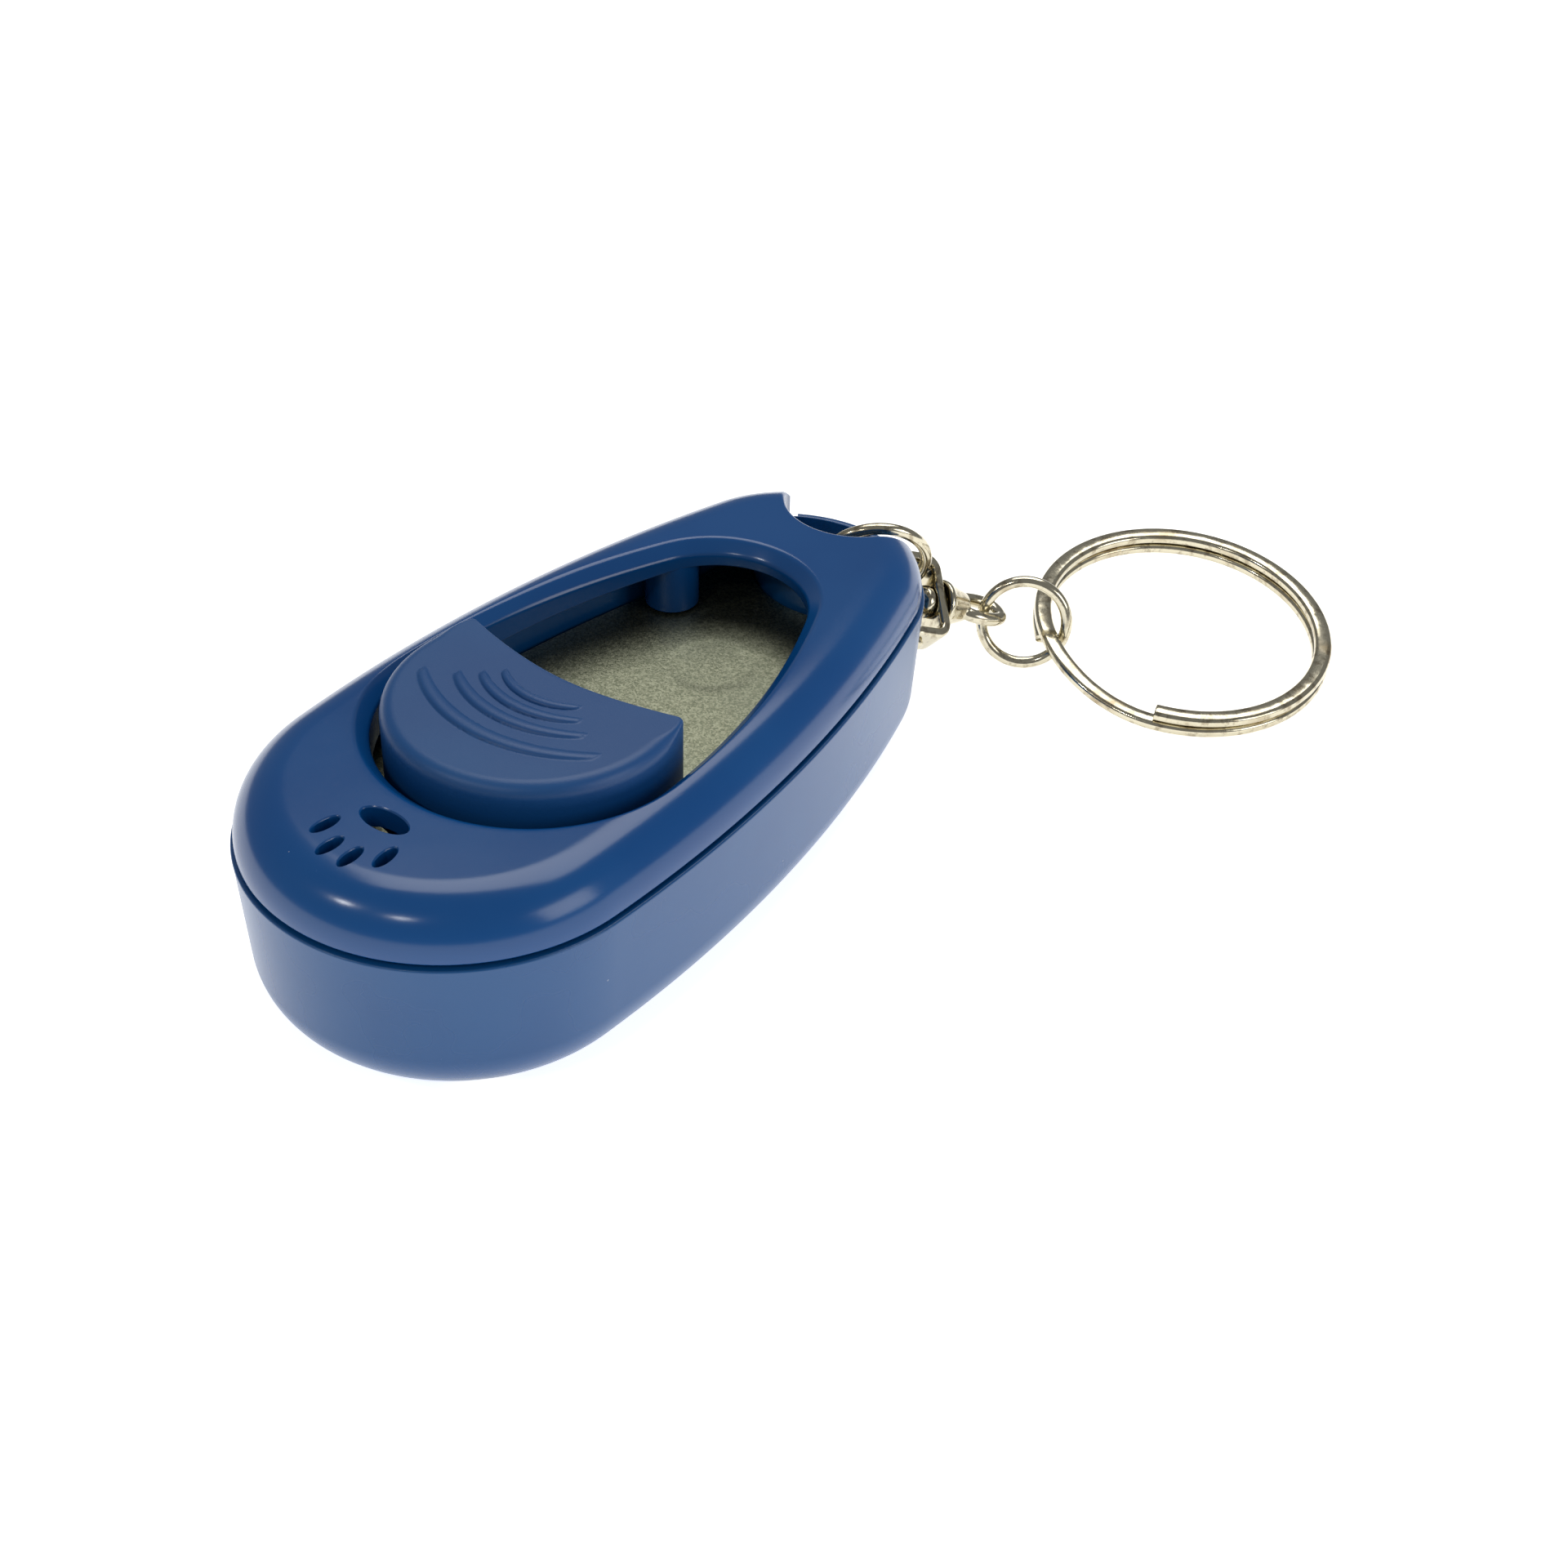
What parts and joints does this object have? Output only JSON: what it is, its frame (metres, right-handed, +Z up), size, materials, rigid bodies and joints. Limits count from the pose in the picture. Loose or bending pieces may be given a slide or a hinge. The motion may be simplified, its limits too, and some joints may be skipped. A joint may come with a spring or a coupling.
{
  "type": "thumb-button clicker with key chain",
  "caption": "Egg-shaped two-part plastic clicker with a ribbed thumb button on a spring-steel plate, and a swivel key chain with a split ring.",
  "frame": {"origin": "middle of the case's flat underside", "axes": "+Z up through the cover, +Y along the case to the key-chain end, +X to the right seen from the button end"},
  "size_m": [0.0496, 0.098, 0.0203],
  "materials": {
    "shell_plastic": "glossy moulded blue",
    "button_plastic": "satin moulded blue",
    "spring_steel": "satin, fine sparkling grain",
    "nickel_wire": "warm nickel plate",
    "screw_steel": "plain zinc"
  },
  "bodies": {
    "case": {"lower_shell": "shell_plastic", "top_cover": "shell_plastic", "case_screw_near_left": "screw_steel", "case_screw_near_right": "screw_steel", "case_screw_far_left": "screw_steel", "case_screw_far_right": "screw_steel"},
    "clicker": {"click_plate": "spring_steel", "thumb_button": "button_plastic", "button_push_nut_left": "spring_steel", "button_push_nut_right": "spring_steel"},
    "lug_ring": {"lug_ring": "nickel_wire"},
    "swivel": {"swivel_yoke": "nickel_wire", "yoke_pin": "nickel_wire"},
    "eye": {"swivel_eye": "nickel_wire"},
    "link_ring": {"link_ring": "nickel_wire"},
    "split_ring": {"split_ring": "nickel_wire"}
  },
  "joints": [
    {"name": "click", "type": "hinge", "parent": "case", "child": "clicker", "pos_m": [0, 0.0172, 0.0112], "axis": [1, 0, 0], "range_deg": [0, 3.5], "stiffness_Nm_per_rad": 1},
    {"name": "lug_ring_swing", "type": "hinge", "parent": "case", "child": "lug_ring", "pos_m": [0.0015, 0.03215, 0.01335], "axis": [1, 0, 0], "range_deg": [0, 30]},
    {"name": "yoke_swing", "type": "hinge", "parent": "lug_ring", "child": "swivel", "pos_m": [0.00367, 0.03376, 0.00816], "axis": [-0.6234, 0.5734, 0.5317], "range_deg": [-25, 35]},
    {"name": "eye_spin", "type": "hinge", "parent": "swivel", "child": "eye", "pos_m": [0.00367, 0.03376, 0.00816], "axis": [0.4324, 0.8193, -0.3765], "continuous": true},
    {"name": "link_swing", "type": "hinge", "parent": "eye", "child": "link_ring", "pos_m": [0.00791, 0.04179, 0.00447], "axis": [-0.8811, 0.4727, 0.0165], "range_deg": [-50, 35]},
    {"name": "split_swing", "type": "hinge", "parent": "link_ring", "child": "split_ring", "pos_m": [0.01331, 0.04344, 0.00238], "axis": [0.3299, 0.4866, 0.8089], "range_deg": [-60, 45]}
  ]
}
